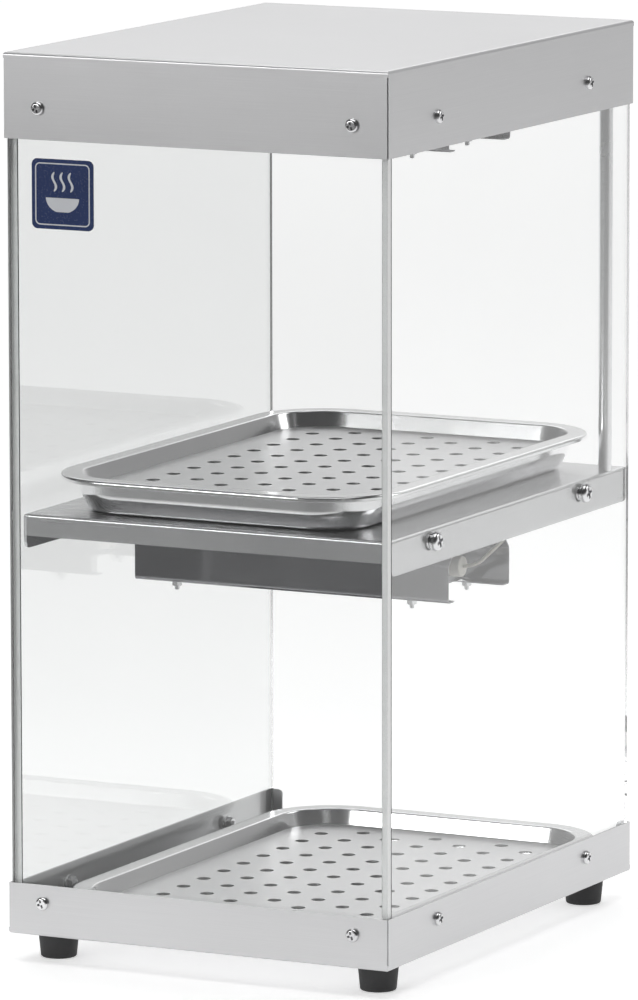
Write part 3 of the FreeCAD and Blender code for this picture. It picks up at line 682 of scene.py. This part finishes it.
def buildReflector(level, form):
    # Half-hexagon trough: the fold line's profile across the case, thickened along its own normals and
    # carried along the case's width.
    node = level + "_reflector"
    low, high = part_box(node)
    middle, half = (low.y + high.y) / 2, (high.y - low.y) / 2
    offset = form["sheet"] / 2
    bottom, top = low.z + offset, high.z - offset
    fold = high.z - form["slopeRise"]
    skirt = half - offset
    web = half - form["slopeRun"]
    right = [(skirt - form["lip"] + offset, bottom, 0), (skirt, bottom, form["bend"]),
             (skirt, fold, form["bend"]), (web, top, form["bend"])]
    left = [(-y, z, radius) for y, z, radius in reversed(right)]
    line = roundedProfile(right + left)
    along = np.gradient(line, axis=0)
    along /= np.linalg.norm(along, axis=1)[:, None]
    normal = np.stack([along[:, 1], -along[:, 0]], 1)
    section = np.concatenate([line + normal * offset, (line - normal * offset)[::-1]])
    stations = np.array([low.x, low.x + form["endBand"], high.x - form["endBand"], high.x])
    x = np.repeat(stations, len(section))
    yz = np.tile(section, (len(stations), 1))
    points = np.column_stack([x, yz[:, 0] + middle, yz[:, 1]])
    size = len(section)
    faces = gridFaces(len(stations), size)
    faces.append(list(range(size))[::-1])
    faces.append(list(range(3 * size, 4 * size)))
    trough = addPiece(level + "_trough", points, faces, "case", "reflector", 50.0)
    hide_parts(node)


coilForm = {"turns": 74, "radius": 1.5 * mm, "wire": 0.28 * mm, "perTurn": 14, "sides": 6, "tail": 4 * mm}


def buildCoil(level, form):
    # Helix along the lamp: position is (length, radius cos, radius sin) of the turn angle, with a small
    # circle of wire round each point. The radius falls to nothing at both ends, where the wire runs out.
    node = level + "_filament"
    low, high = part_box(node)
    centre = middleOf(node)
    count = form["turns"] * form["perTurn"] + 1
    share = np.linspace(0, 1, count)
    x = low.x + (high.x - low.x) * share
    ends = np.clip(np.minimum(x - low.x, high.x - x) / form["tail"], 0, 1)
    radius = form["radius"] * ends
    turn = 2 * math.pi * form["turns"] * share
    path = np.stack([x, centre.y + radius * np.cos(turn), centre.z + radius * np.sin(turn)], 1)
    tangent = np.gradient(path, axis=0)
    tangent /= np.linalg.norm(tangent, axis=1)[:, None]
    outward = np.stack([np.zeros(count), np.cos(turn), np.sin(turn)], 1)
    beside = np.cross(tangent, outward)
    beside /= np.linalg.norm(beside, axis=1)[:, None]
    outward = np.cross(beside, tangent)
    sweep = np.linspace(0, 2 * math.pi, form["sides"], endpoint=False)[:, None]
    rings = np.cos(sweep) * outward[:, None] + np.sin(sweep) * beside[:, None]
    points = path[:, None] + form["wire"] * rings
    faces = gridFaces(count, form["sides"])
    faces.append(list(range(form["sides"]))[::-1])
    faces.append(list(range((count - 1) * form["sides"], count * form["sides"])))
    coil = addPiece(level + "_coil", points.reshape(-1, 3), faces, "case", "coil", 80.0)
    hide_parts(node)


for level in ("upper", "lower"):
    buildReflector(level, reflectorForm)
    buildCoil(level, coilForm)
print("heaters: two troughs and two wound filaments")


# Badge art.

badgeArt = {
    "raise": 0.12 * mm,
    "frameInset": 2.2 * mm,
    "frameLine": 0.7 * mm,
    "frameCorner": 3.0 * mm,
    "bowlHalf": 10.5 * mm,
    "bowlDepth": 8.5 * mm,
    "bowlTop": -2.0 * mm,
    "bowlCut": 0.93,           # share of the bowl's depth where it is cut off flat
    "steamX": (-5.2 * mm, 0.0, 5.2 * mm),
    "steamLow": 1.5 * mm,
    "steamHigh": 12.5 * mm,
    "steamSway": 1.1 * mm,
    "steamLine": 0.75 * mm,
    "steamEnd": 0.02,          # how thin the line gets at its ends, as a share squared
}


def raisedShape(name, x, z, art):
    # A flat outline given the ink's thickness: front face, back face and a wall between.
    low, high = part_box("badge")
    centre = (low + high) / 2
    count = len(x)
    front = np.column_stack([x + centre.x, np.full(count, low.y - art["raise"]), z + centre.z])
    back = front + (0, art["raise"], 0)
    around = np.arange(count)
    wall = np.stack([around, around + count, (around + 1) % count + count, (around + 1) % count], 1)
    faces = [list(range(count)), list(range(count, 2 * count))[::-1]] + wall.tolist()
    return addPiece(name, np.concatenate([front, back]), faces, "case", "ink", 30.0)


def buildFrameLine(art):
    low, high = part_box("badge")
    centre = (low + high) / 2
    halfWidth = (high.x - low.x) / 2 - art["frameInset"]
    halfHeight = (high.z - low.z) / 2 - art["frameInset"]
    insets = np.array([0.0, art["frameLine"], art["frameLine"], 0.0])
    x, z = roundedLoop(halfWidth, halfHeight, art["frameCorner"], insets, 9, 0.5 * mm)
    y = np.array([-art["raise"], -art["raise"], 0.0, 0.0])[:, None] + low.y
    points = np.stack([x + centre.x, np.broadcast_to(y, x.shape), z + centre.z], -1).reshape(-1, 3)
    faces = gridFaces(4, x.shape[1], closeRows=True)
    addPiece("badge_frame_line", points, faces, "case", "ink", 30.0)


def buildDish(art):
    # Bowl: half an ellipse below a straight rim, cut off flat where its foot stands.
    sweep = np.linspace(math.pi, 2 * math.pi, 41)
    x = art["bowlHalf"] * np.cos(sweep)
    z = art["bowlTop"] + art["bowlDepth"] * np.maximum(np.sin(sweep), -art["bowlCut"])
    raisedShape("badge_bowl", x, z, art)
    # Steam: a line that sways as one sine wave while it rises, with rounded ends.
    rise = np.linspace(art["steamLow"], art["steamHigh"], 31)
    share = (rise - rise[0]) / (rise[-1] - rise[0])
    width = art["steamLine"] * np.sqrt(np.clip(1 - (2 * share - 1) ** 8, art["steamEnd"], 1))
    sway = art["steamSway"] * np.sin(2 * math.pi * share)
    for number, place in enumerate(art["steamX"]):
        x = np.concatenate([place + sway + width, (place + sway - width)[::-1]])
        z = np.concatenate([rise, rise[::-1]])
        raisedShape("badge_steam_" + str(number + 1), x, z, art)


buildFrameLine(badgeArt)
buildDish(badgeArt)
print("badge: frame line, bowl and steam")


print("pieces done")
